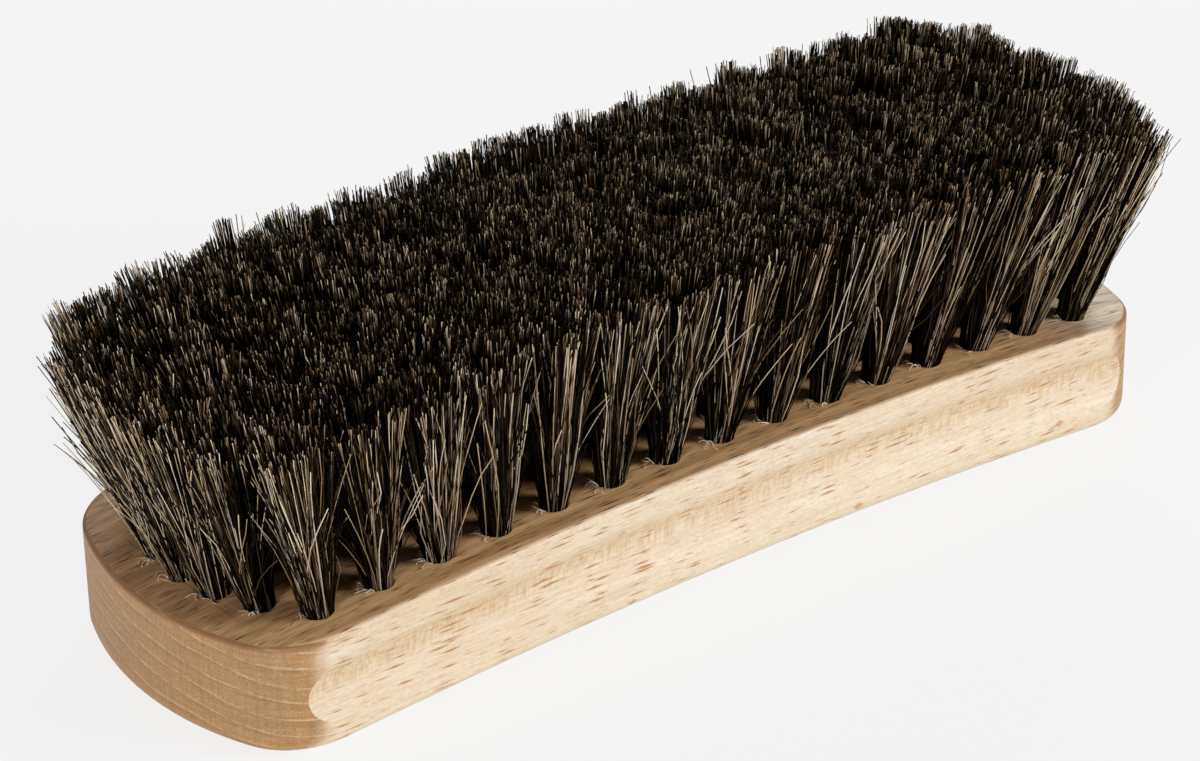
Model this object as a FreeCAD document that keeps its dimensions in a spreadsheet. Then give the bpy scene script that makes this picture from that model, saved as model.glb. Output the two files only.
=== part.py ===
import FreeCAD, Part
import Sketcher
import math
import os

# Shoe shine brush: a bowed wooden block with folded hair tufts, each held by a steel strip in its hole.
# X runs along the block, Y across it and Z up, with the bristles on top.
# The origin is the middle of the footprint, on the surface that the back of the block stands on.

sizes = {
    # Wooden block
    "block_length": 179.0,
    "block_width": 58.2,
    "block_thick": 18.8,  # at mid-length, from the back to the tufted face
    "end_radius": 58.0,  # plan curve of each end
    "corner_radius": 13.0,  # plan curve between an end and a long side
    "face_bow": 4.4,  # rise of the tufted face from the ends to the middle
    "back_bow": 3.8,  # rise of the hollow back from the ends to the middle
    "rest_cut": 0.7,  # taken off the bowed back, so that both ends stand flat
    "face_round": 0.7,  # edge round along the tufted face
    "back_round": 2.8,  # edge round along the back
    # Finger cove along each long side, measured down from the tufted face
    "cove_lip": 3.6,  # flat side left above the cove
    "cove_height": 11.4,  # from the lip down to where the flat side goes on
    "cove_depth": 1.3,
    "cove_soft": 4.0,  # round that turns from the flat side into the hollow, and out of it again
    # Holes for the tufts
    "hole_diameter": 4.6,
    "hole_depth": 11.0,  # to the edge of the drill's point
    "drill_point": 1.3,
    "side_margin": 7.1,  # from a long side to the outer row
    "end_margin": 8.0,  # from the block's end to the last hole of the middle row
    "end_sweep": 8.5,  # how far the outer rows stop short of the middle row
    # Hair tufts
    "bristle_height": 30.7,  # trimmed length above the face
    "tuft_clearance": 0.1,  # between a tuft and its hole
    "tip_gap": 0.5,  # least gap between two tufts at their tips
    "fan_length": 8.4,  # how far the end tufts' tips lean out past their holes
    "fan_width": 5.0,  # the same for the outer rows, across the block
    # Steel strips that hold the folded tufts
    "anchor_thick": 0.4,
    "anchor_height": 1.8,
    "anchor_bite": 0.5,  # driven into the wood on each side of the hole
    "anchor_clearance": 0.05,  # between a strip and the hair folded round it
    "fold_height": 1.2,  # hair folded under the strip
    # How far cutters run past what they cut
    "overrun": 5.0,
}
tufts_in_rows = (15, 16, 17, 16, 17, 16, 15)
sets_in_row = 7

doc = FreeCAD.newDocument("shoe_brush")
sheet = doc.addObject("Spreadsheet::Sheet", "sizes")
for line, (alias, number) in enumerate(sizes.items(), 1):
    sheet.set("A%d" % line, alias)
    sheet.set("B%d" % line, str(number))
    sheet.setAlias("B%d" % line, alias)
doc.recompute()

# Formulas shared by several pieces
bow_radius = "((sizes.block_length / 2)^2 + sizes.{0}^2) / (2 * sizes.{0})"
face_radius = bow_radius.format("face_bow")
back_radius = bow_radius.format("back_bow")
back_crown = "(sizes.back_bow - sizes.rest_cut)"
face_crown = "(sizes.back_bow - sizes.rest_cut + sizes.block_thick)"
face_axis = "(%s - %s)" % (face_crown, face_radius)
hole_radius = "sizes.hole_diameter / 2"
root_radius = "(sizes.hole_diameter / 2 - sizes.tuft_clearance)"
row_spaces = len(tufts_in_rows) - 1
tuft_spaces = max(tufts_in_rows) - 1
tip_rows = "(sizes.block_width - 2 * sizes.side_margin + 2 * sizes.fan_width) / %d" % row_spaces
tip_columns = "(sizes.block_length - 2 * sizes.end_margin + 2 * sizes.fan_length) / %d" % tuft_spaces
tip_radius = "((min(%s; %s) - sizes.tip_gap) / 2)" % (tip_rows, tip_columns)


def size(alias):
    return float(sheet.get(alias))


def radius_of_bow(bow):
    half = size("block_length") / 2
    return (half**2 + bow**2) / (2 * bow)


def bind(thing, **formulas):
    for place, formula in formulas.items():
        thing.setExpression(place.replace("__", "."), formula)


def sketch_on(body, role, name):
    sketch = body.newObject("Sketcher::SketchObject", name)
    plane = next(item for item in body.Origin.OriginFeatures if item.Role == role)
    sketch.AttachmentSupport = [(plane, "")]
    sketch.MapMode = "FlatFace"
    return sketch


def outline(sketch, curves, joint):
    # A closed outline: the end of each curve is joined to the start of the next.
    numbers = [sketch.addGeometry(curve) for curve in curves]
    for this, after in zip(numbers, numbers[1:] + numbers[:1]):
        sketch.addConstraint(Sketcher.Constraint(joint, this, 2, after, 1))
    return numbers


def hold(sketch, name, formula, kind, *spots):
    # A dimension of the sketch, tied to the sheet.
    if kind == "Radius":
        now = sketch.Geometry[spots[0]].Radius
    else:
        step = sketch.getPoint(*spots[2:]) - sketch.getPoint(*spots[:2])
        now = step.x if kind == "DistanceX" else step.y
    number = sketch.addConstraint(Sketcher.Constraint(kind, *spots, now))
    sketch.renameConstraint(number, name)
    sketch.setExpression("Constraints." + name, formula)


def arc(centre_x, centre_y, radius, start, end):
    circle = Part.Circle(FreeCAD.Vector(centre_x, centre_y, 0), FreeCAD.Vector(0, 0, 1), radius)
    return Part.ArcOfCircle(circle, start, end)


def polyline(*corners):
    points = [FreeCAD.Vector(x, y, 0) for x, y in corners]
    return [Part.LineSegment(a, b) for a, b in zip(points, points[1:])]


def must_cut(feature):
    doc.recompute()
    if feature.Shape.Volume >= feature.BaseFeature.Shape.Volume:
        raise RuntimeError(feature.Name + " cut nothing")
    return feature


def edges_of_drum(shape, radius):
    # Names of the edges around the bowed face that has this radius.
    drums = [face for face in shape.Faces if isinstance(face.Surface, Part.Cylinder)]
    bowed = min(drums, key=lambda face: abs(face.Surface.Radius - radius))
    wanted = bowed.Edges
    return ["Edge%d" % number for number, edge in enumerate(shape.Edges, 1)
            if any(edge.isSame(one) for one in wanted)]


# Wooden block


def plan_outline(body):
    sketch = sketch_on(body, "XY_Plane", "plan")
    half_width = size("block_width") / 2
    end, corner = size("end_radius"), size("corner_radius")
    end_x = size("block_length") / 2 - end
    corner_y = half_width - corner
    corner_x = end_x + math.sqrt((end - corner) ** 2 - corner_y**2)
    turn = math.asin(corner_y / (end - corner))
    quarter, half = math.pi / 2, math.pi
    right, top_right, top, top_left, left, low_left, low, low_right = outline(sketch, [
        arc(end_x, 0, end, -turn, turn),
        arc(corner_x, corner_y, corner, turn, quarter),
        *polyline((corner_x, half_width), (-corner_x, half_width)),
        arc(-corner_x, corner_y, corner, quarter, half - turn),
        arc(-end_x, 0, end, half - turn, half + turn),
        arc(-corner_x, -corner_y, corner, half + turn, 3 * quarter),
        *polyline((-corner_x, -half_width), (corner_x, -half_width)),
        arc(corner_x, -corner_y, corner, 3 * quarter, 2 * half - turn),
    ], "Tangent")
    for other in (top_left, low_left, low_right):
        sketch.addConstraint(Sketcher.Constraint("Equal", top_right, other))
    sketch.addConstraint(Sketcher.Constraint("Equal", right, left))
    for side in (top, low):
        sketch.addConstraint(Sketcher.Constraint("Horizontal", side))
    for tip in (right, left):
        sketch.addConstraint(Sketcher.Constraint("PointOnObject", tip, 3, -1))
    end_place = "sizes.block_length / 2 - sizes.end_radius"
    hold(sketch, "end_radius", "sizes.end_radius", "Radius", right)
    hold(sketch, "corner_radius", "sizes.corner_radius", "Radius", top_right)
    hold(sketch, "right_end", end_place, "DistanceX", -1, 1, right, 3)
    hold(sketch, "left_end", end_place, "DistanceX", left, 3, -1, 1)
    hold(sketch, "far_side", "sizes.block_width / 2", "DistanceY", -1, 1, top, 1)
    hold(sketch, "near_side", "sizes.block_width / 2", "DistanceY", low, 1, -1, 1)
    bind(sketch, AttachmentOffset__Base__z="-(sizes.rest_cut + sizes.overrun)")
    return sketch


def bow_outline(body, name, radius, radius_formula, crown, crown_formula, level, level_formula):
    # What lies between a bow and a level line past the block, above the face or under the back.
    sketch = sketch_on(body, "XZ_Plane", name)
    past = size("block_length") / 2 + size("overrun")
    turn = math.asin(past / radius)
    low = crown - radius + radius * math.cos(turn)
    bow, left, flat, right = outline(sketch, [
        arc(0, crown - radius, radius, math.pi / 2 - turn, math.pi / 2 + turn),
        *polyline((-past, low), (-past, level), (past, level), (past, low)),
    ], "Coincident")
    for upright in (left, right):
        sketch.addConstraint(Sketcher.Constraint("Vertical", upright))
    sketch.addConstraint(Sketcher.Constraint("Horizontal", flat))
    sketch.addConstraint(Sketcher.Constraint("PointOnObject", bow, 3, -2))
    past_formula = "sizes.block_length / 2 + sizes.overrun"
    hold(sketch, "radius", radius_formula, "Radius", bow)
    hold(sketch, "axis", "%s - (%s)" % (radius_formula, crown_formula), "DistanceY", bow, 3, -1, 1)
    hold(sketch, "right_past", past_formula, "DistanceX", -1, 1, right, 1)
    hold(sketch, "left_past", past_formula, "DistanceX", left, 1, -1, 1)
    spots = (-1, 1, flat, 1) if level > 0 else (flat, 1, -1, 1)
    hold(sketch, "level", level_formula, "DistanceY", *spots)
    return sketch


def cove_outline(body):
    # Both coves in one section across the block, with the sketch's X axis on the axis of the face's bow.
    sketch = sketch_on(body, "YZ_Plane", "cove_section")
    side, depth, soft = size("block_width") / 2, size("cove_depth"), size("cove_soft")
    half = size("cove_height") / 2
    lip = radius_of_bow(size("face_bow")) - size("cove_lip")
    foot = lip - 2 * half
    hollow = (depth**2 + half**2) / (2 * depth) - soft
    turn = math.asin(half / (hollow + soft))
    past = side + size("overrun")
    lip_formula = "%s - sizes.cove_lip" % face_radius
    both_rounds = "(sizes.cove_depth^2 + (sizes.cove_height / 2)^2) / (2 * sizes.cove_depth)"
    for hand, label in ((1, "far"), (-1, "near")):
        # The angles of a near arc are those of the far one, mirrored.
        spans = [(-turn, 0), (math.pi - turn, math.pi + turn), (0, turn)]
        if hand < 0:
            spans = [(math.pi - end, math.pi - start) for start, end in spans]
        round_x = hand * (side - soft)
        curves = [
            arc(round_x, lip, soft, *spans[0]),
            arc(hand * (side + hollow - depth), lip - half, hollow, *spans[1]),
            arc(round_x, foot, soft, *spans[2]),
            *polyline((hand * side, lip), (hand * past, lip), (hand * past, foot), (hand * side, foot)),
        ]
        top, bowl, bottom, shelf, outer, floor = [sketch.addGeometry(curve) for curve in curves]
        start, end = (1, 2) if hand > 0 else (2, 1)
        for joint in ((top, start, bowl, start), (bowl, end, bottom, end)):
            sketch.addConstraint(Sketcher.Constraint("Tangent", *joint))
        corners = (
            (top, end, shelf, 1), (shelf, 2, outer, 1), (outer, 2, floor, 1), (floor, 2, bottom, start),
        )
        for corner in corners:
            sketch.addConstraint(Sketcher.Constraint("Coincident", *corner))
        for level in (shelf, floor):
            sketch.addConstraint(Sketcher.Constraint("Horizontal", level))
        sketch.addConstraint(Sketcher.Constraint("Vertical", outer))
        sketch.addConstraint(Sketcher.Constraint("Horizontal", top, 3, top, end))
        sketch.addConstraint(Sketcher.Constraint("Horizontal", bottom, 3, bottom, start))
        sketch.addConstraint(Sketcher.Constraint("Equal", top, bottom))
        hold(sketch, label + "_soft", "sizes.cove_soft", "Radius", top)
        hold(sketch, label + "_hollow", both_rounds + " - sizes.cove_soft", "Radius", bowl)
        ends = {
            "side": ("sizes.block_width / 2", shelf, 1),
            "foot": ("sizes.block_width / 2", floor, 2),
            "past": ("sizes.block_width / 2 + sizes.overrun", outer, 1),
        }
        for name, (formula, curve, spot) in ends.items():
            spots = (-1, 1, curve, spot) if hand > 0 else (curve, spot, -1, 1)
            hold(sketch, label + "_" + name, formula, "DistanceX", *spots)
        hold(sketch, label + "_lip", lip_formula, "DistanceY", -1, 1, shelf, 1)
        hold(sketch, label + "_floor", lip_formula + " - sizes.cove_height", "DistanceY", -1, 1, floor, 2)
    bind(sketch, AttachmentOffset__Base__y=face_axis)
    return sketch


def through(body, name, sketch):
    cut = body.newObject("PartDesign::Pocket", name)
    cut.Profile = sketch
    cut.Type = "ThroughAll"
    return cut


def rounded(body, name, base, edges, formula):
    edge_round = body.newObject("PartDesign::Fillet", name)
    edge_round.Base = (base, edges)
    bind(edge_round, Radius=formula)
    return must_cut(edge_round)


def shaped_block():
    body = doc.addObject("PartDesign::Body", "shaped_block")
    plank = body.newObject("PartDesign::Pad", "plank")
    plank.Profile = plan_outline(body)
    bind(plank, Length=face_crown + " + sizes.rest_cut + 2 * sizes.overrun")
    doc.recompute()

    back_top = size("back_bow") - size("rest_cut")
    face_top = back_top + size("block_thick")
    past = 2 * size("overrun")
    face = bow_outline(
        body, "face_bow", radius_of_bow(size("face_bow")), face_radius, face_top, face_crown,
        face_top + past, face_crown + " + 2 * sizes.overrun",
    )
    back = bow_outline(
        body, "back_bow", radius_of_bow(size("back_bow")), back_radius, back_top, back_crown,
        -size("rest_cut") - past, "sizes.rest_cut + 2 * sizes.overrun",
    )
    for name, sketch in (("face", face), ("back", back)):
        bowed = through(body, name, sketch)
        bowed.SideType = "Symmetric"
        must_cut(bowed)

    face_edges = edges_of_drum(bowed.Shape, radius_of_bow(size("face_bow")))
    softened = rounded(body, "face_edge", bowed, face_edges, "sizes.face_round")
    back_edges = edges_of_drum(softened.Shape, radius_of_bow(size("back_bow")))
    rounded(body, "back_edge", softened, back_edges, "sizes.back_round")

    flat = sketch_on(body, "XY_Plane", "rest_flat")
    half_length, half_width = size("block_length") / 2, size("block_width") / 2
    near, right, far, left = outline(flat, polyline(
        (-half_length, -half_width), (half_length, -half_width), (half_length, half_width),
        (-half_length, half_width), (-half_length, -half_width),
    ), "Coincident")
    for level in (near, far):
        flat.addConstraint(Sketcher.Constraint("Horizontal", level))
    for upright in (right, left):
        flat.addConstraint(Sketcher.Constraint("Vertical", upright))
    hold(flat, "right", "sizes.block_length / 2", "DistanceX", -1, 1, right, 1)
    hold(flat, "left", "sizes.block_length / 2", "DistanceX", left, 1, -1, 1)
    hold(flat, "far", "sizes.block_width / 2", "DistanceY", -1, 1, far, 1)
    hold(flat, "near", "sizes.block_width / 2", "DistanceY", near, 1, -1, 1)
    must_cut(through(body, "rest_flats", flat))

    coves = body.newObject("PartDesign::Groove", "coves")
    section = cove_outline(body)
    coves.Profile = section
    coves.ReferenceAxis = (section, ["H_Axis"])
    coves.Midplane = True
    bind(coves, Angle="2 * asin(sizes.block_length / (%s))" % face_radius)
    must_cut(coves)
    return body


# Patterns of one hole, one tuft and one strip, each upright with its origin in the middle of the hole's mouth


def drill_pattern():
    bore = doc.addObject("Part::Cylinder", "drill_bore")
    bind(bore, Radius=hole_radius, Height="sizes.hole_depth + sizes.overrun",
         Placement__Base__z="-sizes.hole_depth")
    point = doc.addObject("Part::Cone", "drill_tip")
    bind(point, Radius2=hole_radius, Height="sizes.drill_point",
         Placement__Base__z="-(sizes.hole_depth + sizes.drill_point)")
    point.Radius1 = 0
    slit = strip("drill_slit")
    drill = doc.addObject("Part::MultiFuse", "drill")
    drill.Shapes = [bore, point, slit]
    return drill


def strip(name):
    plate = doc.addObject("Part::Box", name)
    bind(plate, Length="sizes.hole_diameter + 2 * sizes.anchor_bite", Width="sizes.anchor_thick",
         Height="sizes.anchor_height",
         Placement__Base__x="-(%s + sizes.anchor_bite)" % hole_radius,
         Placement__Base__y="-sizes.anchor_thick / 2",
         Placement__Base__z="sizes.fold_height - sizes.hole_depth")
    return plate


def tuft_pattern():
    root = doc.addObject("Part::Cylinder", "tuft_root")
    bind(root, Radius=root_radius, Height="sizes.hole_depth - sizes.tuft_clearance",
         Placement__Base__z="sizes.tuft_clearance - sizes.hole_depth")
    flare = doc.addObject("Part::Cone", "tuft_flare")
    spread = "%s + (%s - %s) * (1 + sizes.overrun / sizes.bristle_height)"
    bind(flare, Radius1=root_radius, Radius2=spread % (root_radius, tip_radius, root_radius),
         Height="sizes.bristle_height + sizes.overrun")
    bundle = doc.addObject("Part::Fuse", "tuft_bundle")
    bundle.Base, bundle.Tool = root, flare
    slit = doc.addObject("Part::Box", "tuft_slit")
    bind(slit, Length="sizes.hole_diameter", Width="sizes.anchor_thick + 2 * sizes.anchor_clearance",
         Height="sizes.anchor_height + 2 * sizes.anchor_clearance",
         Placement__Base__x="-%s" % hole_radius,
         Placement__Base__y="-(sizes.anchor_thick / 2 + sizes.anchor_clearance)",
         Placement__Base__z="sizes.fold_height - sizes.hole_depth - sizes.anchor_clearance")
    tuft = doc.addObject("Part::Cut", "tuft")
    tuft.Base, tuft.Tool = bundle, slit
    return tuft


def trimmer_pattern():
    # What is trimmed off a tuft: its underside lies on the trimmed tips.
    block = doc.addObject("Part::Box", "trimmer")
    bind(block, Length="4 * " + tip_radius, Width="4 * " + tip_radius, Height="2 * sizes.overrun",
         Placement__Base__x="-2 * " + tip_radius, Placement__Base__y="-2 * " + tip_radius)
    return block


def tuft_places():
    # For each row, the places of its holes and of its trimmed tips, from left to right.
    # The rows come from the near side to the far one.
    upright = FreeCAD.Vector(0, 0, 1)
    radius = radius_of_bow(size("face_bow"))
    axis = size("back_bow") - size("rest_cut") + size("block_thick") - radius
    row_reach = size("block_width") / 2 - size("side_margin")
    end_reach = size("block_length") / 2 - size("end_margin")
    sweep = (row_reach**2 + size("end_sweep") ** 2) / (2 * size("end_sweep"))
    rows = []
    for row, count in enumerate(tufts_in_rows):
        y = row_reach * (2 * row / row_spaces - 1)
        reach = end_reach - sweep + math.sqrt(sweep**2 - y**2)
        holes, tips = [], []
        for number in range(count):
            x = reach * (2 * number / (count - 1) - 1)
            mouth = FreeCAD.Vector(x, y, axis + math.sqrt(radius**2 - x**2))
            tip_x = x + size("fan_length") * x / end_reach
            tip_y = y + size("fan_width") * y / row_reach
            tip_z = axis + math.sqrt((radius + size("bristle_height")) ** 2 - tip_x**2)
            tip = FreeCAD.Vector(tip_x, tip_y, tip_z)
            square = FreeCAD.Vector(tip_x, 0, tip_z - axis)
            holes.append(FreeCAD.Placement(mouth, FreeCAD.Rotation(upright, tip - mouth)))
            tips.append(FreeCAD.Placement(tip, FreeCAD.Rotation(upright, square)))
        rows.append((holes, tips))
    return rows


def copies_at(name, pattern, places):
    copies = []
    for number, place in enumerate(places, 1):
        copy = doc.addObject("App::Link", "%s_%d" % (name, number))
        copy.LinkedObject = pattern
        copy.LinkTransform = True
        copy.Placement = place
        copies.append(copy)
    return copies


def group_of(name, things):
    # Separate solids that share one sub-part.
    group = doc.addObject("Part::Compound", name)
    group.Links = things
    return group


def trimmed(bundle, trimmer):
    tips = doc.addObject("Part::Cut", "trimmed_" + bundle.Name)
    tips.Base, tips.Tool = bundle, trimmer
    return tips


rows = tuft_places()
sub_parts = {}

drilled = doc.addObject("Part::Cut", "wood_block")
drilled.Base = shaped_block()
every_hole = [place for holes, tips in rows for place in holes]
drilled.Tool = group_of("tuft_holes", copies_at("hole", drill_pattern(), every_hole))
sub_parts[drilled] = 1

tuft, anchor, trimmer = tuft_pattern(), strip("anchor"), trimmer_pattern()
for row, (holes, tips) in enumerate(rows, 1):
    anchors = group_of("anchors_row_%d" % row, copies_at("anchor_%d" % row, anchor, holes))
    sub_parts[anchors] = len(holes)
    bundles = copies_at("bundle_%d" % row, tuft, holes)
    trimmers = copies_at("trimmer_%d" % row, trimmer, tips)
    tufts = [trimmed(bundle, cutter) for bundle, cutter in zip(bundles, trimmers)]
    for part in range(sets_in_row):
        first, last = (round(len(tufts) * edge / sets_in_row) for edge in (part, part + 1))
        tuft_set = group_of("tufts_row_%d_set_%d" % (row, part + 1), tufts[first:last])
        sub_parts[tuft_set] = last - first
doc.recompute()

for thing in doc.Objects:
    if "Invalid" in thing.State or "Error" in thing.State:
        raise RuntimeError("%s failed: %s" % (thing.Label, thing.State))
for thing, solids in sub_parts.items():
    if thing.Shape.isNull() or not thing.Shape.isValid() or len(thing.Shape.Solids) != solids:
        raise RuntimeError("%s has a bad shape" % thing.Label)

os.makedirs("parts", exist_ok=True)
for thing in sub_parts:
    thing.Shape.exportStep("parts/%s.step" % thing.Label)
print("%d sub-parts, block of %.1f cm3" % (len(sub_parts), drilled.Shape.Volume / 1000))
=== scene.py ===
import math

import bmesh
import bpy
import numpy as np
from mathutils import Matrix, Vector


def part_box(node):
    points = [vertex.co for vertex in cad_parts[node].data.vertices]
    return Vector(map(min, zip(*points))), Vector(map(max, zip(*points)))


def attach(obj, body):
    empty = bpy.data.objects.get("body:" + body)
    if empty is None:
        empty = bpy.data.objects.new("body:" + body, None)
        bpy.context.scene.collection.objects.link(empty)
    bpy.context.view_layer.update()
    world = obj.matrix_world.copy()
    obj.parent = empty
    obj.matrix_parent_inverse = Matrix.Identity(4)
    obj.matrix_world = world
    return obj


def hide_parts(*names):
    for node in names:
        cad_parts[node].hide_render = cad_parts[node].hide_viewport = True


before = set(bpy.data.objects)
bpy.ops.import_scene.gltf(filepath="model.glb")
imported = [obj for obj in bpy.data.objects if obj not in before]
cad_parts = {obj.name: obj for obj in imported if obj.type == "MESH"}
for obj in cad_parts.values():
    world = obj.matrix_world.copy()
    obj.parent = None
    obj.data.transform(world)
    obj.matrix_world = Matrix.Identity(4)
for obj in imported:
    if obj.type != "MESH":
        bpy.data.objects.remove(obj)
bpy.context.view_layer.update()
mm = 0.001
fullTurn = 2 * math.pi
blockHigh = Vector(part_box("wood_block")[1])
print("frame loaded:", len(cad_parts), "nodes")


# Where the tufts stand: the holes of the block and the trimmed tips

tuftPlan = {
    "rows": (15, 16, 17, 16, 17, 16, 15),  # tufts in each row, from the near side to the far one
    "setsInRow": 7,
    "faceBow": 4.4 * mm,
    "sideMargin": 7.1 * mm,
    "endMargin": 8.0 * mm,
    "endSweep": 8.5 * mm,
    "hairHeight": 30.7 * mm,
    "fanLength": 8.4 * mm,
    "fanWidth": 5.0 * mm,
    "holeRadius": 2.3 * mm,
}
halfLength = blockHigh.x
halfWidth = blockHigh.y
faceRadius = (halfLength**2 + tuftPlan["faceBow"]**2) / (2 * tuftPlan["faceBow"])
faceAxis = blockHigh.z - faceRadius  # height of the axis that the face is bowed about


def tuftPlaces():
    rowReach = halfWidth - tuftPlan["sideMargin"]
    endReach = halfLength - tuftPlan["endMargin"]
    sweep = (rowReach**2 + tuftPlan["endSweep"]**2) / (2 * tuftPlan["endSweep"])
    lastRow = len(tuftPlan["rows"]) - 1
    places = []
    for row, count in enumerate(tuftPlan["rows"]):
        y = rowReach * (2 * row / lastRow - 1)
        reach = endReach - sweep + math.sqrt(sweep**2 - y**2)
        tufts = []
        for number in range(count):
            x = reach * (2 * number / (count - 1) - 1)
            tipX = x + tuftPlan["fanLength"] * x / endReach
            tipY = y + tuftPlan["fanWidth"] * y / rowReach
            tipZ = faceAxis + math.sqrt((faceRadius + tuftPlan["hairHeight"])**2 - tipX**2)
            tufts.append({
                "mouth": np.array((x, y, faceAxis + math.sqrt(faceRadius**2 - x**2))),
                "tip": np.array((tipX, tipY, tipZ)),
                "outward": ((number == count - 1) - (number == 0), (row == lastRow) - (row == 0)),
            })
        places.append(tufts)
    return places


# Strands: unit tubes made once with bmesh, then laid along the hairs

strandShape = {
    "sides": 3,
    "spacing": 4.0,
    "tubeShare": 0.94,  # part of a UV cell that the tube takes
    "capHeight": 0.03,  # half of what is left for its cap
    "cellEdge": 0.08,  # left free along each edge of a UV cell
    "sideGuide": (0.31, 0.95, 0.0),
}


def layTubeUv(face, uvLayer, isCap):
    middle = face.calc_center_median()
    around = math.atan2(middle.y, middle.x)
    for loop in face.loops:
        corner = loop.vert.co
        if isCap:
            high = strandShape["capHeight"]
            loop[uvLayer].uv = (0.5 + corner.x / 2, 1 - high + high * corner.y)
            continue
        turn = math.atan2(corner.y, corner.x) - around
        turn = (turn + math.pi) % fullTurn - math.pi
        loop[uvLayer].uv = ((around + turn) / fullTurn + 0.5, corner.z * strandShape["tubeShare"])


def unitTube(rings):
    # radius 1, from height 0 to height 1, closed at its tip only
    bm = bmesh.new()
    uvLayer = bm.loops.layers.uv.new("OFBake")
    bmesh.ops.create_circle(bm, segments=strandShape["sides"], radius=1.0)
    edges = bm.edges[:]
    for _ in range(rings - 1):
        grown = bmesh.ops.extrude_edge_only(bm, edges=edges)["geom"]
        verts = [part for part in grown if isinstance(part, bmesh.types.BMVert)]
        edges = [part for part in grown if isinstance(part, bmesh.types.BMEdge)]
        edges = [edge for edge in edges if set(edge.verts) <= set(verts)]
        bmesh.ops.translate(bm, verts=verts, vec=(0, 0, 1 / (rings - 1)))
    cap = bmesh.ops.contextual_create(bm, geom=edges)["faces"]
    bmesh.ops.recalc_face_normals(bm, faces=bm.faces[:])
    for face in bm.faces:
        face.smooth = face not in cap
        layTubeUv(face, uvLayer, face in cap)
    mesh = bpy.data.meshes.new("unitStrand")
    bm.to_mesh(mesh)
    bm.free()
    return mesh


def unitStrands(count, rings):
    single = bpy.data.objects.new("unitStrand", unitTube(rings))
    bpy.context.scene.collection.objects.link(single)
    copies = single.modifiers.new("copies", "ARRAY")
    copies.count = count
    copies.use_relative_offset = False
    copies.use_constant_offset = True
    copies.constant_offset_displace = (strandShape["spacing"], 0, 0)
    graph = bpy.context.evaluated_depsgraph_get()
    many = bpy.data.meshes.new_from_object(single.evaluated_get(graph))
    bpy.data.objects.remove(single)
    return many


unitCache = {}


def strandMesh(name, lines, radii, tones, paintedShades):
    # lines: strands x rings x 3, radii and painted shades (painted shade and a painted tip highlight):
    # strands x rings, tones: one for each strand
    count, rings = lines.shape[:2]
    key = (count, rings)
    if key not in unitCache:
        unitCache[key] = unitStrands(count, rings)
    mesh = unitCache[key].copy()
    mesh.name = name
    flat = np.empty(len(mesh.vertices) * 3, dtype=np.float32)
    mesh.vertices.foreach_get("co", flat)
    unit = flat.reshape(-1, 3)
    strandOf = np.rint(unit[:, 0] / strandShape["spacing"]).astype(int)
    ringOf = np.rint(unit[:, 2] * (rings - 1)).astype(int)
    acrossX = unit[:, 0] - strandShape["spacing"] * strandOf
    acrossY = unit[:, 1]
    heading = np.gradient(lines, axis=1)
    heading /= np.linalg.norm(heading, axis=2, keepdims=True)
    sideways = np.cross(heading, np.array(strandShape["sideGuide"]))
    sideways /= np.linalg.norm(sideways, axis=2, keepdims=True)
    frontways = np.cross(heading, sideways)
    width = radii[strandOf, ringOf][:, None]
    # sideways, frontways and heading are right-handed, so the faces stay turned outwards
    spots = (lines[strandOf, ringOf]
             + width * (acrossX[:, None] * sideways[strandOf, ringOf]
                        + acrossY[:, None] * frontways[strandOf, ringOf]))
    mesh.vertices.foreach_set("co", spots.astype(np.float32).ravel())
    tone = mesh.attributes.new("strandTone", "FLOAT", "POINT")
    tone.data.foreach_set("value", tones[strandOf].astype(np.float32))
    # painted shade and a painted tip highlight, for each ring of each strand
    paintedShade = mesh.attributes.new("paintedShadeAndTipGlint", "FLOAT", "POINT")
    paintedShade.data.foreach_set("value", paintedShades[strandOf, ringOf].astype(np.float32))
    layCells(mesh, strandOf, count)
    mesh.update()
    return mesh


def layCells(mesh, strandOf, count):
    # every strand has a UV cell of its own, so that its tone can be baked
    across = math.ceil(math.sqrt(count))
    corners = np.empty(len(mesh.loops), dtype=np.int32)
    mesh.loops.foreach_get("vertex_index", corners)
    cell = strandOf[corners]
    layer = mesh.uv_layers["OFBake"].data
    flat = np.empty(len(mesh.loops) * 2, dtype=np.float32)
    layer.foreach_get("uv", flat)
    edge = strandShape["cellEdge"]
    uv = edge + (1 - 2 * edge) * flat.reshape(-1, 2)
    uv[:, 0] = (uv[:, 0] + cell % across) / across
    uv[:, 1] = (uv[:, 1] + cell // across) / across
    layer.foreach_set("uv", uv.ravel())


def placePiece(name, mesh, material, nodes=()):
    piece = bpy.data.objects.new(name, mesh)
    bpy.context.scene.collection.objects.link(piece)
    piece.data.materials.append(material)
    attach(piece, "root")
    if nodes:
        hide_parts(*nodes)


# Small helpers for shader nodes


def newMaterial(name):
    material = bpy.data.materials.new(name)
    material.use_nodes = True
    tree = material.node_tree
    shader = tree.nodes["Principled BSDF"]
    return material, tree, shader


def addNode(tree, kind, links=None, **settings):
    node = tree.nodes.new(kind)
    for name, value in settings.items():
        setattr(node, name, value)
    for socket, value in (links or {}).items():
        if isinstance(value, bpy.types.NodeSocket):
            tree.links.new(value, node.inputs[socket])
        else:
            node.inputs[socket].default_value = value
    return node


def ramp(tree, factor, *stops):
    node = addNode(tree, "ShaderNodeValToRGB", {"Fac": factor})
    elements = node.color_ramp.elements
    while len(elements) < len(stops):
        elements.new(0.5)
    for element, (place, colour) in zip(elements, stops):
        if isinstance(colour, float):
            colour = (colour, colour, colour)
        element.position = place
        element.color = (*colour, 1.0)
    return node.outputs["Color"]


def mathNode(tree, operation, first, second=0.0):
    node = addNode(tree, "ShaderNodeMath", {0: first, 1: second}, operation=operation)
    return node.outputs["Value"]


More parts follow.
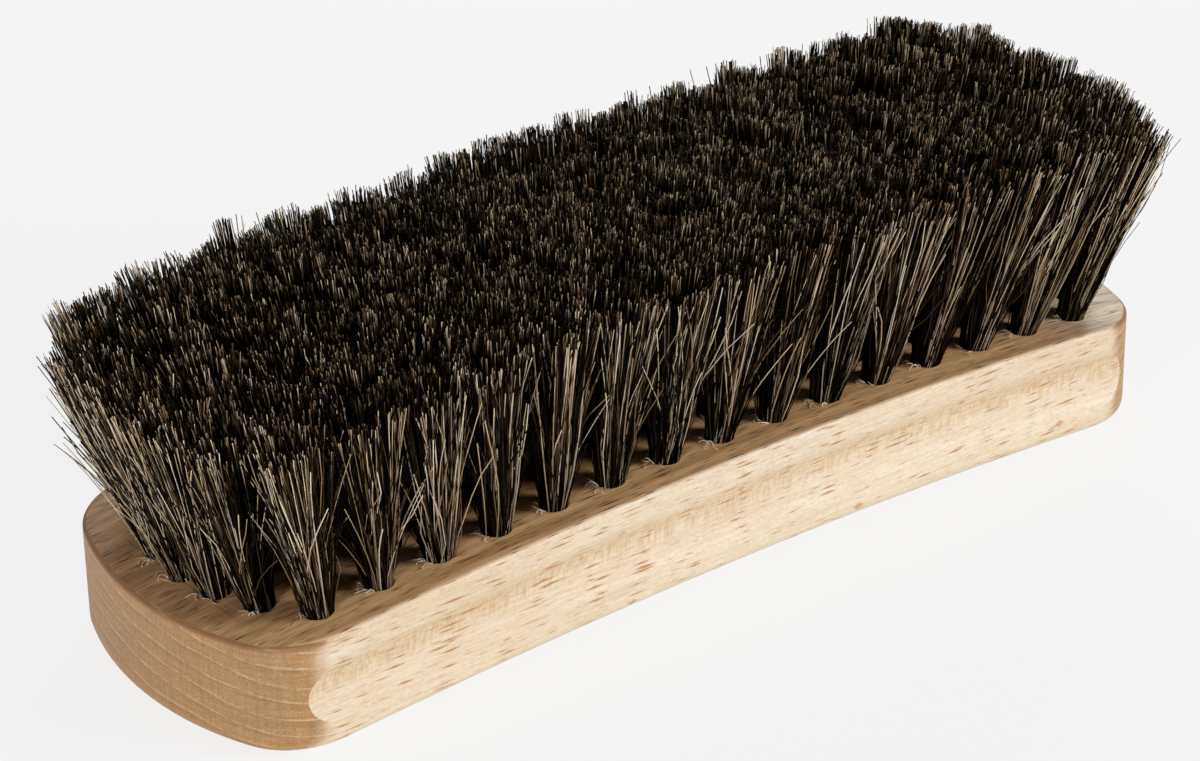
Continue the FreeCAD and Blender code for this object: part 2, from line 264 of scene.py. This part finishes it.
def mixColour(tree, factor, first, second, blend="MIX"):
    node = addNode(tree, "ShaderNodeMix", data_type="RGBA", blend_type=blend)
    for socket, value in zip((node.inputs[0], node.inputs[6], node.inputs[7]), (factor, first, second)):
        if isinstance(value, bpy.types.NodeSocket):
            tree.links.new(value, socket)
        else:
            socket.default_value = value
    return node.outputs[2]


def stretched(tree, source, scale):
    return addNode(tree, "ShaderNodeMapping", {"Vector": source, "Scale": scale}).outputs["Vector"]


def noise(tree, spot, scale, detail, roughness):
    # scale: how fast the noise changes along X, Y and Z
    node = addNode(tree, "ShaderNodeTexNoise", {
        "Vector": stretched(tree, spot, scale), "Scale": 1.0, "Detail": detail, "Roughness": roughness})
    return node.outputs["Fac"]


# Horsehair

hairLook = {
    "tones": (  # from the darkest strands to the palest
        (0.0, (0.0020, 0.0015, 0.0012)),
        (0.46, (0.0020, 0.0015, 0.0012)),
        (0.60, (0.016, 0.008, 0.004)),
        (0.72, (0.105, 0.052, 0.021)),
        (0.82, (0.40, 0.265, 0.135)),
        (0.93, (0.72, 0.55, 0.35)),
        (1.0, (0.83, 0.71, 0.53)),
    ),
    "roughness": 0.3,
    "specular": 0.05,
    "specularTint": (1.0, 0.86, 0.70),
}


def hairMaterial():
    material, tree, shader = newMaterial("horsehair")
    tone = addNode(tree, "ShaderNodeAttribute", attribute_name="strandTone").outputs["Fac"]
    paintedShade = addNode(tree, "ShaderNodeAttribute", attribute_name="paintedShadeAndTipGlint").outputs["Fac"]
    look = hairLook
    colour = ramp(tree, tone, *look["tones"])
    # the tone is multiplied by the painted shade along the strand, which also paints a highlight at its
    # tip
    paintedShadeGrey = addNode(tree, "ShaderNodeCombineColor", {0: paintedShade, 1: paintedShade, 2: paintedShade}).outputs[0]
    colour = mixColour(tree, 1.0, colour, paintedShadeGrey, "MULTIPLY")
    tree.links.new(colour, shader.inputs["Base Color"])
    shader.inputs["Roughness"].default_value = look["roughness"]
    shader.inputs["Specular IOR Level"].default_value = look["specular"]
    shader.inputs["Specular Tint"].default_value = (*look["specularTint"], 1.0)
    return material


# the tufts around the edge show their whole length, the inner ones only their tips
hairPlan = {
    "strands": {"edge": 520, "inner": 900},
    "runs": {  # where the rings stand along a strand
        "edge": (0, 0.2, 0.38, 0.55, 0.71, 0.86, 1),
        "inner": (0, 0.91, 1),
    },
    # how light a strand is along its length as painted shade, with a painted highlight at its tip, on
    # the outside of the brush and where only its tip shows
    "openPaintedShade": ((0, 0.15), (0.25, 0.42), (0.5, 0.85), (0.7, 1), (1, 1.2)),
    "deepPaintedShade": ((0, 0.05), (0.86, 0.06), (0.91, 0.1), (1, 1.2)),
    "openFrom": 0.45,  # how far out of its tuft a strand has to stand to be on the outside
    "bend": {"edge": (0.75, 1.5), "inner": (0.62, 1.0)},  # under 1 a strand flares early
    "wildShare": {"edge": 0.11, "inner": 0.02},  # strands that leave the bundle and lean out
    "wildLeft": 1.3,  # so much more of them at the left end
    "wildSpread": (1.15, 1.75),
    "wildBend": (1.2, 2.3),
    "wildLength": (0.55, 1.0),
    "wildFrom": 0.5,  # only strands this far out in the bundle go wild
    "rootDepth": 7.5 * mm,  # how far the strands start down the hole
    "packRadius": 2.15 * mm,
    "spread": (6.6 * mm, 6.0 * mm),  # of a tuft's tips, along the brush and across it
    "outerSqueeze": 0.76,  # the outermost tufts spread less towards the outside
    "fan": 0.85,  # under 1 the tips crowd less in the middle
    "jitter": (0.13, 0.36),  # of a tip's distance and angle
    "sway": (0.7 * mm, 0.0),  # all the tips lean a little this way
    # longer than the mean, from the left end to the right one
    "trim": ((-1, 0.6 * mm), (0, 0.9 * mm), (0.4, 0.9 * mm), (0.8, 2.5 * mm), (1, 2.6 * mm)),
    "trimFar": 0.5 * mm,  # so much longer on the far side
    "locks": 22,  # strands of a tuft gather in so many locks
    "lockPull": (0.05, 0.5),
    "lockHeight": 0.7 * mm,
    "tuftHeight": 0.45 * mm,
    "strandShort": 0.7 * mm,
    "looseTip": 0.32 * mm,
    "shortShare": 0.12,
    "shortLength": (0.6, 0.97),
    "wave": 0.6 * mm,
    "waves": (0.5, 1.2),
    "radius": {"edge": 0.106 * mm, "inner": 0.088 * mm},
    "radiusRange": (0.72, 1.25),
    "tipTaper": 0.25,
    "lockTone": 0.035,
    "tuftTone": 0.03,
    "openLitTone": 0.06,  # painted light: strands on the outside are fairer
    "deepShadeTone": -0.10,  # painted shade: those that only show their tips are darker
    "leftTone": (-0.04, 0.23),  # added to that at the left end, on its near side and on its far one
    "paleShare": 0.06,  # strands that are pale whatever stands around them
    "paleTone": (0.92, 1.0),
    "seed": 41,
}


def onDisc(share, angle, spread):
    return share[:, None] * np.stack((np.cos(angle), np.sin(angle)), axis=1) * spread


def tuftAxes(tuft):
    lean = tuft["tip"] - tuft["mouth"]
    height = np.linalg.norm(lean)
    axis = lean / height
    along = np.array((1.0, 0.0, 0.0)) - axis[0] * axis
    along /= np.linalg.norm(along)
    return height, axis, along, np.cross(axis, along)


def spreadTips(count, rng):
    # where the strands of a tuft start and end, seen along its axis, and the lock that each belongs to
    plan = hairPlan
    spread = np.array(plan["spread"])
    share = np.sqrt(rng.random(count))
    angle = rng.random(count) * fullTurn
    rootDisc = onDisc(share, angle, plan["packRadius"])
    farJitter, turnJitter = (rng.normal(0, amount, count) for amount in plan["jitter"])
    tipDisc = onDisc(share ** plan["fan"] * (1 + farJitter), angle + turnJitter, spread)
    lockDisc = onDisc(np.sqrt(rng.random(plan["locks"])), rng.random(plan["locks"]) * fullTurn, spread)
    lock = np.linalg.norm(tipDisc[:, None, :] - lockDisc[None, :, :], axis=2).argmin(axis=1)
    tipDisc += rng.uniform(*plan["lockPull"], count)[:, None] * (lockDisc[lock] - tipDisc)
    tipDisc += rng.normal(0, plan["looseTip"], (count, 2))
    return share, rootDisc, tipDisc, lock


def trimmedLengths(mouth, height, lock, rng):
    plan = hairPlan
    count = len(lock)
    length = height + np.interp(mouth[0] / halfLength, *zip(*plan["trim"]))
    length += plan["trimFar"] * mouth[1] / halfWidth
    length += rng.normal(0, plan["tuftHeight"]) + rng.normal(0, plan["lockHeight"], plan["locks"])[lock]
    length -= np.abs(rng.normal(0, plan["strandShort"], count))
    isShort = rng.random(count) < plan["shortShare"]
    return length * np.where(isShort, rng.uniform(*plan["shortLength"], count), 1.0)


def waved(rise, rng):
    count = len(rise)
    turn = rng.random(count) * fullTurn
    waves = rng.uniform(*hairPlan["waves"], count)[:, None]
    wave = rng.normal(0, hairPlan["wave"], count)[:, None] * np.sin(rise * fullTurn * waves)
    return wave[..., None] * np.stack((np.cos(turn), np.sin(turn)), axis=1)[:, None, :]


def strandTones(tuft, isOpen, lock, rng):
    plan = hairPlan
    count = len(lock)
    tones = rng.random(count) + rng.normal(0, plan["lockTone"], plan["locks"])[lock]
    leftTone = np.interp(tuft["mouth"][1], (-halfWidth, halfWidth), plan["leftTone"])
    openLitTone = plan["openLitTone"] + leftTone * (tuft["outward"][0] < 0)
    # painted light on the strands on the outside, painted shade on those deep in the tuft
    tones += np.where(isOpen, openLitTone, plan["deepShadeTone"])
    tones += rng.normal(0, plan["tuftTone"])
    isPale = rng.random(count) < plan["paleShare"]
    tones = np.where(isPale, rng.uniform(*plan["paleTone"], count), tones)
    return np.clip(tones, 0, 1)


def tuftStrands(tuft, where, rng):
    plan = hairPlan
    count = plan["strands"][where]
    mouth = tuft["mouth"]
    height, axis, along, across = tuftAxes(tuft)
    share, rootDisc, tipDisc, lock = spreadTips(count, rng)
    length = trimmedLengths(mouth, height, lock, rng)
    bend = rng.uniform(*plan["bend"][where], count)
    for side, outward in enumerate(tuft["outward"]):
        isOuter = tipDisc[:, side] * outward > 0
        tipDisc[:, side] *= np.where(isOuter, plan["outerSqueeze"], 1.0)

    # wild strands lean out of the bundle
    leftward = max(0.0, -mouth[0] / halfLength)
    wildShare = plan["wildShare"][where] * (1 + plan["wildLeft"] * leftward)
    isWild = (rng.random(count) < wildShare) & (share > plan["wildFrom"])
    tipDisc *= np.where(isWild, rng.uniform(*plan["wildSpread"], count), 1.0)[:, None]
    bend = np.where(isWild, rng.uniform(*plan["wildBend"], count), bend)
    length *= np.where(isWild, rng.uniform(*plan["wildLength"], count), 1.0)
    tipDisc += np.array(plan["sway"])

    step = np.array(plan["runs"][where])
    reach = -plan["rootDepth"] + step[None, :] * (length[:, None] + plan["rootDepth"])
    rise = np.clip(reach / length[:, None], 0, 1)
    flare = (rise ** bend[:, None])[..., None]
    disc = rootDisc[:, None, :] + flare * (tipDisc - rootDisc)[:, None, :]
    disc = disc + waved(rise, rng)
    lines = mouth + reach[..., None] * axis + disc[..., :1] * along + disc[..., 1:] * across
    thickness = plan["radius"][where] * rng.uniform(*plan["radiusRange"], count)
    radii = thickness[:, None] * (1 - plan["tipTaper"] * rise**2)

    # painted shade: strands deep in a tuft get the darker deep shade, those on the outside the lighter
    # open one
    standsOut = (rootDisc / plan["packRadius"] * np.array(tuft["outward"])).max(axis=1)
    isOpen = (standsOut > plan["openFrom"]) | isWild
    openPaintedShade, deepPaintedShade = (np.interp(step, *zip(*plan[name])) for name in ("openPaintedShade", "deepPaintedShade"))
    paintedShades = np.where(isOpen[:, None], openPaintedShade, deepPaintedShade)
    return lines, radii, strandTones(tuft, isOpen, lock, rng), paintedShades


def makeHair(material):
    rng = np.random.default_rng(hairPlan["seed"])
    strands = 0
    for row, tufts in enumerate(tuftPlaces(), 1):
        sets = tuftPlan["setsInRow"]
        for part in range(sets):
            first, last = (round(len(tufts) * edge / sets) for edge in (part, part + 1))
            members = tufts[first:last]
            where = "edge" if any(any(tuft["outward"]) for tuft in members) else "inner"
            bundles = [tuftStrands(tuft, where, rng) for tuft in members]
            lines, radii, tones, paintedShades = (np.concatenate(rows) for rows in zip(*bundles))
            name = "hair_row_%d_set_%d" % (row, part + 1)
            node = "tufts_row_%d_set_%d" % (row, part + 1)
            mesh = strandMesh(name, lines, radii, tones, paintedShades)
            placePiece(name, mesh, material, [node])
            strands += len(tones)
    print("hair laid:", strands, "strands")


makeHair(hairMaterial())


# Beech

woodLook = {
    "pale": (0.87, 0.77, 0.62),
    "warm": (0.82, 0.69, 0.51),
    "dash": (0.50, 0.245, 0.08),  # short brown flecks on the long sides
    "spot": (0.56, 0.29, 0.10),
    "cove": (0.95, 0.90, 0.82),  # painted shade in the hollow of the cove
    "face": (0.93, 0.575, 0.28),  # the tufted face is browner
    "faceRightSheen": (0.97, 0.84, 0.65),  # painted sheen: the face is pale at its right end
    "facePore": (0.10, 0.042, 0.016),
    "end": (0.525, 0.29, 0.118),
    "endDark": (0.44, 0.235, 0.095),
    "endLine": (0.68, 0.455, 0.25),
    # a darker line along the top edge of the end grain
    "endRimDark": (0.27, 0.115, 0.04),
    "pith": (0.0, 40.0, -400.0),  # the rings are round about this line, in mm
    "ringStep": 2.7,
    "ringWander": 3.0,
    "lineFrom": (0.3, 0.6),  # where the torn noise lets the rings show
    "faceFrom": (0.5, 0.95),  # how far a surface has to look up to be part of the face
    "faceEdge": (27.9, 29.1),  # the face grows pale towards its long edges
    "faceEdgeShare": 0.65,
    "endFrom": (0.25, 0.56),  # how far a surface has to look along the block to be end grain
    "endTorn": 0.25,
    "endEdgeFrom": (0.12, 0.3),
    "faceRightSheenFrom": (55, 85),
    "coveShadeBand": ((3.6, 5.4), (6.0, 9.6)),  # depth below the face where the painted cove shade comes and goes
    "rayBand": ((5.0, 6.2), (8.0, 10.5)),
    "edgeBand": ((0.04, 0.15), (0.5, 1.1)),
    "endRimDarkStrength": 0.7,
    "streakRelief": 0.5,
    "bumpStrength": 0.5,
    "bumpDepth": 0.06 * mm,
}
# for each noise: change per mm along X, Y and Z, detail, roughness
woodNoise = {
    "torn": ((0.12, 0.5, 0.5), 4.0, 0.6),
    "broad": ((0.014, 0.12, 0.12), 3.0, 0.6),
    "streaks": ((0.12, 2.6, 2.6), 4.0, 0.6),
    "mottle": ((1.2, 2.6, 2.6), 3.0, 0.6),
    "bands": ((0.02, 0.5, 0.5), 3.0, 0.6),
    "rays": ((1.6, 1.6, 0.16), 3.0, 0.6),
    "wander": ((0.03, 0.05, 0.2), 2.0, 0.5),
    "layers": ((0.06, 0.06, 2.2), 3.0, 0.6),
    "grain": ((2.2, 2.2, 4.2), 3.0, 0.65),
}
# for each grading: noise level and tint at its lower and its upper stop
woodGrade = {
    "broad": ((0.34, woodLook["warm"]), (0.60, woodLook["pale"])),
    "streaks": ((0.32, (0.90, 0.84, 0.74)), (0.62, 1.0)),
    "mottle": ((0.34, (0.93, 0.87, 0.77)), (0.58, 1.0)),
    "rays": ((0.36, (0.88, 0.80, 0.67)), (0.58, 1.04)),
    "faceStreaks": ((0.3, (0.74, 0.67, 0.58)), (0.68, 1.06)),
    "faceBands": ((0.38, (0.76, 0.70, 0.62)), (0.60, 1.1)),
    "endLayers": ((0.34, 0.88), (0.62, 1.06)),
    "endGrain": ((0.35, 0.76), (0.65, 1.12)),
    "endRings": ((0.0, woodLook["endLine"]), (0.08, woodLook["end"]), (0.5, woodLook["end"]),
                 (0.9, woodLook["endDark"]), (0.96, woodLook["endLine"])),
    "endRays": ((0.34, 0.88), (0.6, 1.03)),
    "rough": ((0.3, 0.58), (0.7, 0.44)),
}
# for each kind of dash: plane, size of its cell in mm, share of the cell it takes, share of the cells
# that have one, strength
woodDashes = {
    "long": ("XZ", (17.0, 1.15), 0.16, 0.56, 0.95),
    "middle": ("XZ", (9.0, 0.85), 0.2, 0.72, 0.95),
    "short": ("XZ", (4.6, 0.6), 0.2, 0.6, 0.45),
    "spots": ("XZ", (11.0, 6.5), 0.1, 0.3, 0.7),
    "face": ("XY", (12.0, 0.85), 0.2, 0.95, 0.9),
    "faceFine": ("XY", (6.0, 0.55), 0.22, 0.9, 0.75),
}
dashShape = {
    "least": 0.5,  # the smallest dash against its mean size
    "core": 0.55,  # part of a dash that has its full strength
    "fade": 3,  # one dash in so many has its full strength
}


def smoothStep(tree, value, low, high):
    node = addNode(tree, "ShaderNodeMapRange", {"Value": value, "From Min": low, "From Max": high},
                   interpolation_type="SMOOTHSTEP")
    return node.outputs["Result"]


def band(tree, value, rise, fall):
    up = smoothStep(tree, value, *rise)
    return mathNode(tree, "MULTIPLY", up, smoothStep(tree, value, fall[1], fall[0]))


def spindles(tree, spot, kind):
    # dashes along the grain, drawn in a plane and carried straight through the wood
    plane, size, share, keep, strength = woodDashes[kind]
    parts = addNode(tree, "ShaderNodeSeparateXYZ", {0: spot}).outputs
    flat = addNode(tree, "ShaderNodeCombineXYZ", {0: parts[plane[0]], 1: parts[plane[1]]}).outputs[0]
    cells = addNode(tree, "ShaderNodeTexVoronoi", {
        "Vector": stretched(tree, flat, (1 / size[0], 1 / size[1], 1)), "Scale": 1.0, "Randomness": 1.0},
        voronoi_dimensions="2D", distance="MANHATTAN")
    chance = addNode(tree, "ShaderNodeSeparateColor", {0: cells.outputs["Color"]}).outputs
    reach = mathNode(tree, "MULTIPLY", mathNode(tree, "ADD", chance["Green"], dashShape["least"]), share)
    near = mathNode(tree, "DIVIDE", cells.outputs["Distance"], reach)
    dash = smoothStep(tree, near, 1.0, dashShape["core"])
    kept = smoothStep(tree, chance["Red"], 1 - keep, 1 - keep / dashShape["fade"])
    return mathNode(tree, "MULTIPLY", mathNode(tree, "MULTIPLY", dash, kept), strength)


def tinted(tree, colour, factor, tint):
    return mixColour(tree, factor, colour, mixColour(tree, 1.0, colour, (*tint, 1), "MULTIPLY"))


def graded(tree, colour, factor, kind):
    return mixColour(tree, 1.0, colour, ramp(tree, factor, *woodGrade[kind]), "MULTIPLY")


def vectorNode(tree, operation, first, second=(0, 0, 0)):
    node = addNode(tree, "ShaderNodeVectorMath", {0: first, 1: second}, operation=operation)
    return node.outputs["Value" if operation == "LENGTH" else "Vector"]


def depthBelowFace(tree, spot):
    # in mm, measured square to the bow
    arm = vectorNode(tree, "SUBTRACT", spot, (0, 0, faceAxis / mm))
    height = vectorNode(tree, "LENGTH", vectorNode(tree, "MULTIPLY", arm, (1, 0, 1)))
    return mathNode(tree, "SUBTRACT", faceRadius / mm, height)


def ringPlace(tree, spot, wander):
    offset = vectorNode(tree, "SUBTRACT", spot, woodLook["pith"])
    radius = vectorNode(tree, "LENGTH", vectorNode(tree, "MULTIPLY", offset, (0, 1, 1)))
    radius = mathNode(tree, "ADD", radius, mathNode(tree, "MULTIPLY", wander, woodLook["ringWander"]))
    return mathNode(tree, "FRACT", mathNode(tree, "DIVIDE", radius, woodLook["ringStep"]))


def longGrain(tree, spot, level, depth):
    look = woodLook
    colour = ramp(tree, level["broad"], *woodGrade["broad"])
    colour = graded(tree, colour, level["streaks"], "streaks")
    colour = graded(tree, colour, level["mottle"], "mottle")
    rayed = graded(tree, colour, level["rays"], "rays")
    colour = mixColour(tree, band(tree, depth, *look["rayBand"]), colour, rayed)
    # painted shade in the hollow of the cove
    colour = tinted(tree, colour, band(tree, depth, *look["coveShadeBand"]), look["cove"])
    colour = mixColour(tree, spindles(tree, spot, "spots"), colour, (*look["spot"], 1))
    pores = 0.0
    for kind in ("long", "middle", "short"):
        pores = mathNode(tree, "MAXIMUM", spindles(tree, spot, kind), pores)
    return mixColour(tree, pores, colour, (*look["dash"], 1)), pores


def tuftedFace(tree, spot, level, sides):
    look = woodLook
    place = addNode(tree, "ShaderNodeSeparateXYZ", {0: spot}).outputs
    # painted sheen: the face grows paler towards its right end
    paintedSheen = smoothStep(tree, place["X"], *look["faceRightSheenFrom"])
    colour = mixColour(tree, paintedSheen, (*look["face"], 1), (*look["faceRightSheen"], 1))
    colour = graded(tree, colour, level["bands"], "faceBands")
    colour = graded(tree, colour, level["streaks"], "faceStreaks")
    outward = smoothStep(tree, mathNode(tree, "ABSOLUTE", place["Y"]), *look["faceEdge"])
    outward = mathNode(tree, "MULTIPLY", outward, look["faceEdgeShare"])
    colour = mixColour(tree, outward, colour, sides)
    lines = mathNode(tree, "MAXIMUM", spindles(tree, spot, "face"), spindles(tree, spot, "faceFine"))
    return mixColour(tree, lines, colour, (*look["facePore"], 1))


def endGrain(tree, spot, level):
    ring = ringPlace(tree, spot, level["wander"])
    ringed = ramp(tree, ring, *woodGrade["endRings"])
    shown = smoothStep(tree, level["torn"], *woodLook["lineFrom"])
    colour = mixColour(tree, shown, (*woodLook["end"], 1), ringed)
    colour = graded(tree, colour, level["layers"], "endLayers")
    colour = graded(tree, colour, level["grain"], "endGrain")
    return graded(tree, colour, level["rays"], "endRays")


def beechMaterial():
    material, tree, shader = newMaterial("beech")
    look = woodLook
    coords = addNode(tree, "ShaderNodeTexCoord").outputs
    spot = stretched(tree, coords["Object"], (1 / mm, 1 / mm, 1 / mm))
    facing = addNode(tree, "ShaderNodeSeparateXYZ", {0: coords["Normal"]}).outputs
    level = {name: noise(tree, spot, *settings) for name, settings in woodNoise.items()}
    depth = depthBelowFace(tree, spot)
    faceMask = smoothStep(tree, facing["Z"], *look["faceFrom"])
    endward = mathNode(tree, "ABSOLUTE", facing["X"])
    torn = mathNode(tree, "MULTIPLY", level["torn"], look["endTorn"])
    endMask = smoothStep(tree, mathNode(tree, "ADD", endward, torn), *look["endFrom"])

    sides, pores = longGrain(tree, spot, level, depth)
    colour = mixColour(tree, faceMask, sides, tuftedFace(tree, spot, level, sides))
    colour = mixColour(tree, endMask, colour, endGrain(tree, spot, level))
    # darker along the top edge of the end grain
    edge = mathNode(tree, "MULTIPLY", band(tree, depth, *look["edgeBand"]),
                    smoothStep(tree, endward, *look["endEdgeFrom"]))
    edge = mathNode(tree, "MULTIPLY", edge, look["endRimDarkStrength"])
    colour = mixColour(tree, edge, colour, (*look["endRimDark"], 1))
    tree.links.new(colour, shader.inputs["Base Color"])

    tree.links.new(ramp(tree, level["streaks"], *woodGrade["rough"]), shader.inputs["Roughness"])
    relief = mathNode(tree, "MULTIPLY", level["streaks"], look["streakRelief"])
    relief = mathNode(tree, "SUBTRACT", relief, pores)
    bump = addNode(tree, "ShaderNodeBump", {
        "Height": relief, "Strength": look["bumpStrength"], "Distance": look["bumpDepth"]})
    tree.links.new(bump.outputs["Normal"], shader.inputs["Normal"])
    return material


steelLook = {
    "brushed": ((200, 4000, 4000), 3.0, 0.5),
    "rough": ((0.3, 0.28), (0.7, 0.5)),
    "colour": ((0.3, (0.42, 0.41, 0.40)), (0.7, (0.60, 0.59, 0.57))),
}


def steelMaterial():
    material, tree, shader = newMaterial("anchorSteel")
    spot = addNode(tree, "ShaderNodeTexCoord").outputs["Object"]
    brushed = noise(tree, spot, *steelLook["brushed"])
    tree.links.new(ramp(tree, brushed, *steelLook["rough"]), shader.inputs["Roughness"])
    tree.links.new(ramp(tree, brushed, *steelLook["colour"]), shader.inputs["Base Color"])
    shader.inputs["Metallic"].default_value = 1.0
    return material


def dress(node, material):
    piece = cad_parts[node]
    piece.data.materials.clear()
    piece.data.materials.append(material)


fibrePlan = {
    "perHole": 6,
    "rings": 6,
    "length": (0.8 * mm, 2.8 * mm),
    "radius": (0.06 * mm, 0.14 * mm),
    "tipTaper": 0.6,
    "lift": 0.3 * mm,
    "sink": 0.1 * mm,
    # the side of a hole where the grain is torn, where the fibres point to, and how much each varies
    "tornSide": (math.radians(186), math.radians(24)),
    "heading": (math.radians(152), math.radians(32)),
    "curl": 2.6,  # most that a fibre turns, in radians
    "roughness": 0.7,
    "tones": ((0.0, (0.55, 0.39, 0.24)), (0.5, (0.80, 0.66, 0.48)), (1.0, (0.88, 0.79, 0.66))),
    "seed": 7,
}


def fibreMaterial():
    material, tree, shader = newMaterial("tornBeech")
    tone = addNode(tree, "ShaderNodeAttribute", attribute_name="strandTone").outputs["Fac"]
    tree.links.new(ramp(tree, tone, *fibrePlan["tones"]), shader.inputs["Base Color"])
    shader.inputs["Roughness"].default_value = fibrePlan["roughness"]
    return material


def rimFibres(tuft, rng):
    plan = fibrePlan
    count, rings = plan["perHole"], plan["rings"]
    step = np.linspace(0, 1, rings)
    start = rng.normal(*plan["tornSide"], count)
    turn = rng.uniform(-plan["curl"], plan["curl"], count)
    heading = rng.normal(*plan["heading"], count)[:, None] + turn[:, None] * step
    stride = rng.uniform(*plan["length"], count)[:, None] / (rings - 1) * (step > 0)
    rimX = tuft["mouth"][0] + tuftPlan["holeRadius"] * np.cos(start)
    rimY = tuft["mouth"][1] + tuftPlan["holeRadius"] * np.sin(start)
    x = rimX[:, None] + np.cumsum(stride * np.cos(heading), axis=1)
    y = rimY[:, None] + np.cumsum(stride * np.sin(heading), axis=1)
    arch = np.abs(rng.normal(0, plan["lift"], count))[:, None] * np.sin(math.pi * step)
    rise = arch + plan["radius"][0] - plan["sink"] * (1 - step) ** 3
    z = faceAxis + np.sqrt(faceRadius**2 - x**2) + rise
    radii = rng.uniform(*plan["radius"], count)[:, None] * (1 - plan["tipTaper"] * step**2)
    return np.stack((x, y, z), axis=2), radii, rng.random(count)


def makeRimFibres(material):
    rng = np.random.default_rng(fibrePlan["seed"])
    for row, tufts in enumerate(tuftPlaces(), 1):
        torn = [rimFibres(tuft, rng) for tuft in tufts]
        lines, radii, tones = (np.concatenate(rows) for rows in zip(*torn))
        name = "rim_fibres_row_%d" % row
        mesh = strandMesh(name, lines, radii, tones, np.ones_like(radii))
        placePiece(name, mesh, material)
    print("torn fibres laid around the holes")


makeRimFibres(fibreMaterial())
dress("wood_block", beechMaterial())
steel = steelMaterial()
for row in range(1, len(tuftPlan["rows"]) + 1):
    dress("anchors_row_%d" % row, steel)
print("block and anchors dressed")


# Floor, light and camera

studio = {
    "floorSize": 6.0,
    "floorTone": (0.92, 0.92, 0.92),
    "floorRoughness": 0.9,
    "floorLift": 0.82,
    "worldLevel": 0.14,
    "lamps": {  # place, size across, power
        "keyLight": ((1.32, -1.56, 0.80), 0.8, 32.5),
        "endFill": ((-1.0, -0.53, 0.13), 0.22, 6.7),
        "faceSheen": ((0.80, 0.92, 0.46), 0.7, 5.4),
    },
}


def makeFloor():
    bm = bmesh.new()
    bmesh.ops.create_grid(bm, x_segments=1, y_segments=1, size=studio["floorSize"] / 2)
    mesh = bpy.data.meshes.new("floor")
    bm.to_mesh(mesh)
    bm.free()
    floor = bpy.data.objects.new("floor", mesh)
    bpy.context.scene.collection.objects.link(floor)
    material, tree, shader = newMaterial("paleFloor")
    shader.inputs["Base Color"].default_value = (*studio["floorTone"], 1.0)
    shader.inputs["Roughness"].default_value = studio["floorRoughness"]
    shader.inputs["Specular IOR Level"].default_value = 0.0
    lift = addNode(tree, "ShaderNodeEmission", {"Color": (1, 1, 1, 1), "Strength": 1.0})
    rays = addNode(tree, "ShaderNodeLightPath").outputs
    seen = mathNode(tree, "MAXIMUM", rays["Is Camera Ray"], rays["Is Glossy Ray"])
    seen = mathNode(tree, "MAXIMUM", seen, rays["Is Transmission Ray"])
    seen = mathNode(tree, "MULTIPLY", seen, studio["floorLift"])
    mix = addNode(tree, "ShaderNodeMixShader", {0: seen, 1: shader.outputs[0], 2: lift.outputs[0]})
    tree.links.new(mix.outputs[0], tree.nodes["Material Output"].inputs["Surface"])
    mesh.materials.append(material)


def makeWorld():
    world = bpy.data.worlds.new("studio")
    bpy.context.scene.world = world
    world.use_nodes = True
    tree = world.node_tree
    tree.nodes.clear()
    soft = addNode(tree, "ShaderNodeBackground", {
        "Color": (1, 1, 1, 1), "Strength": studio["worldLevel"]})
    output = addNode(tree, "ShaderNodeOutputWorld")
    tree.links.new(soft.outputs[0], output.inputs["Surface"])


def makeLamp(name, aim, place, size, power):
    light = bpy.data.lights.new(name, "AREA")
    light.shape = "DISK"
    light.size = size
    light.energy = power
    lamp = bpy.data.objects.new(name, light)
    lamp.location = place
    lamp.rotation_euler = (aim - Vector(place)).to_track_quat("-Z", "Y").to_euler()
    bpy.context.scene.collection.objects.link(lamp)


makeFloor()
makeWorld()
for name, settings in studio["lamps"].items():
    makeLamp(name, Vector((0, 0, blockHigh.z)), *settings)
print("floor and lamps ready")


view = {
    "focalPixels": 3901.0,  # for a picture 1200 pixels wide
    "pictureWidth": 1200.0,
    "sensorWidth": 36.0,
    "turn": math.radians(-37.47),
    "height": math.radians(27.49),
    "roll": math.radians(-0.92),
    "distance": 598.6 * mm,
    "lookAt": (-5.55 * mm, 0.0, 24.39 * mm),
    "clip": (0.01, 50.0),
}


def makeCamera():
    camera = bpy.data.cameras.new("photoCamera")
    camera.sensor_fit = "HORIZONTAL"
    camera.sensor_width = view["sensorWidth"]
    camera.lens = view["focalPixels"] / view["pictureWidth"] * view["sensorWidth"]
    camera.clip_start, camera.clip_end = view["clip"]
    back = Vector((math.sin(view["turn"]) * math.cos(view["height"]),
                   -math.cos(view["turn"]) * math.cos(view["height"]), math.sin(view["height"])))
    right = (-back).cross(Vector((0, 0, 1))).normalized()
    up = right.cross(-back)
    rolledRight = math.cos(view["roll"]) * right + math.sin(view["roll"]) * up
    rolledUp = -math.sin(view["roll"]) * right + math.cos(view["roll"]) * up
    stand = bpy.data.objects.new("photoCamera", camera)
    stand.matrix_world = Matrix((rolledRight, rolledUp, back)).transposed().to_4x4()
    stand.location = Vector(view["lookAt"]) + view["distance"] * back
    bpy.context.scene.collection.objects.link(stand)
    bpy.context.scene.camera = stand


makeCamera()
bpy.context.scene.view_settings.view_transform = "Standard"
print("camera ready")
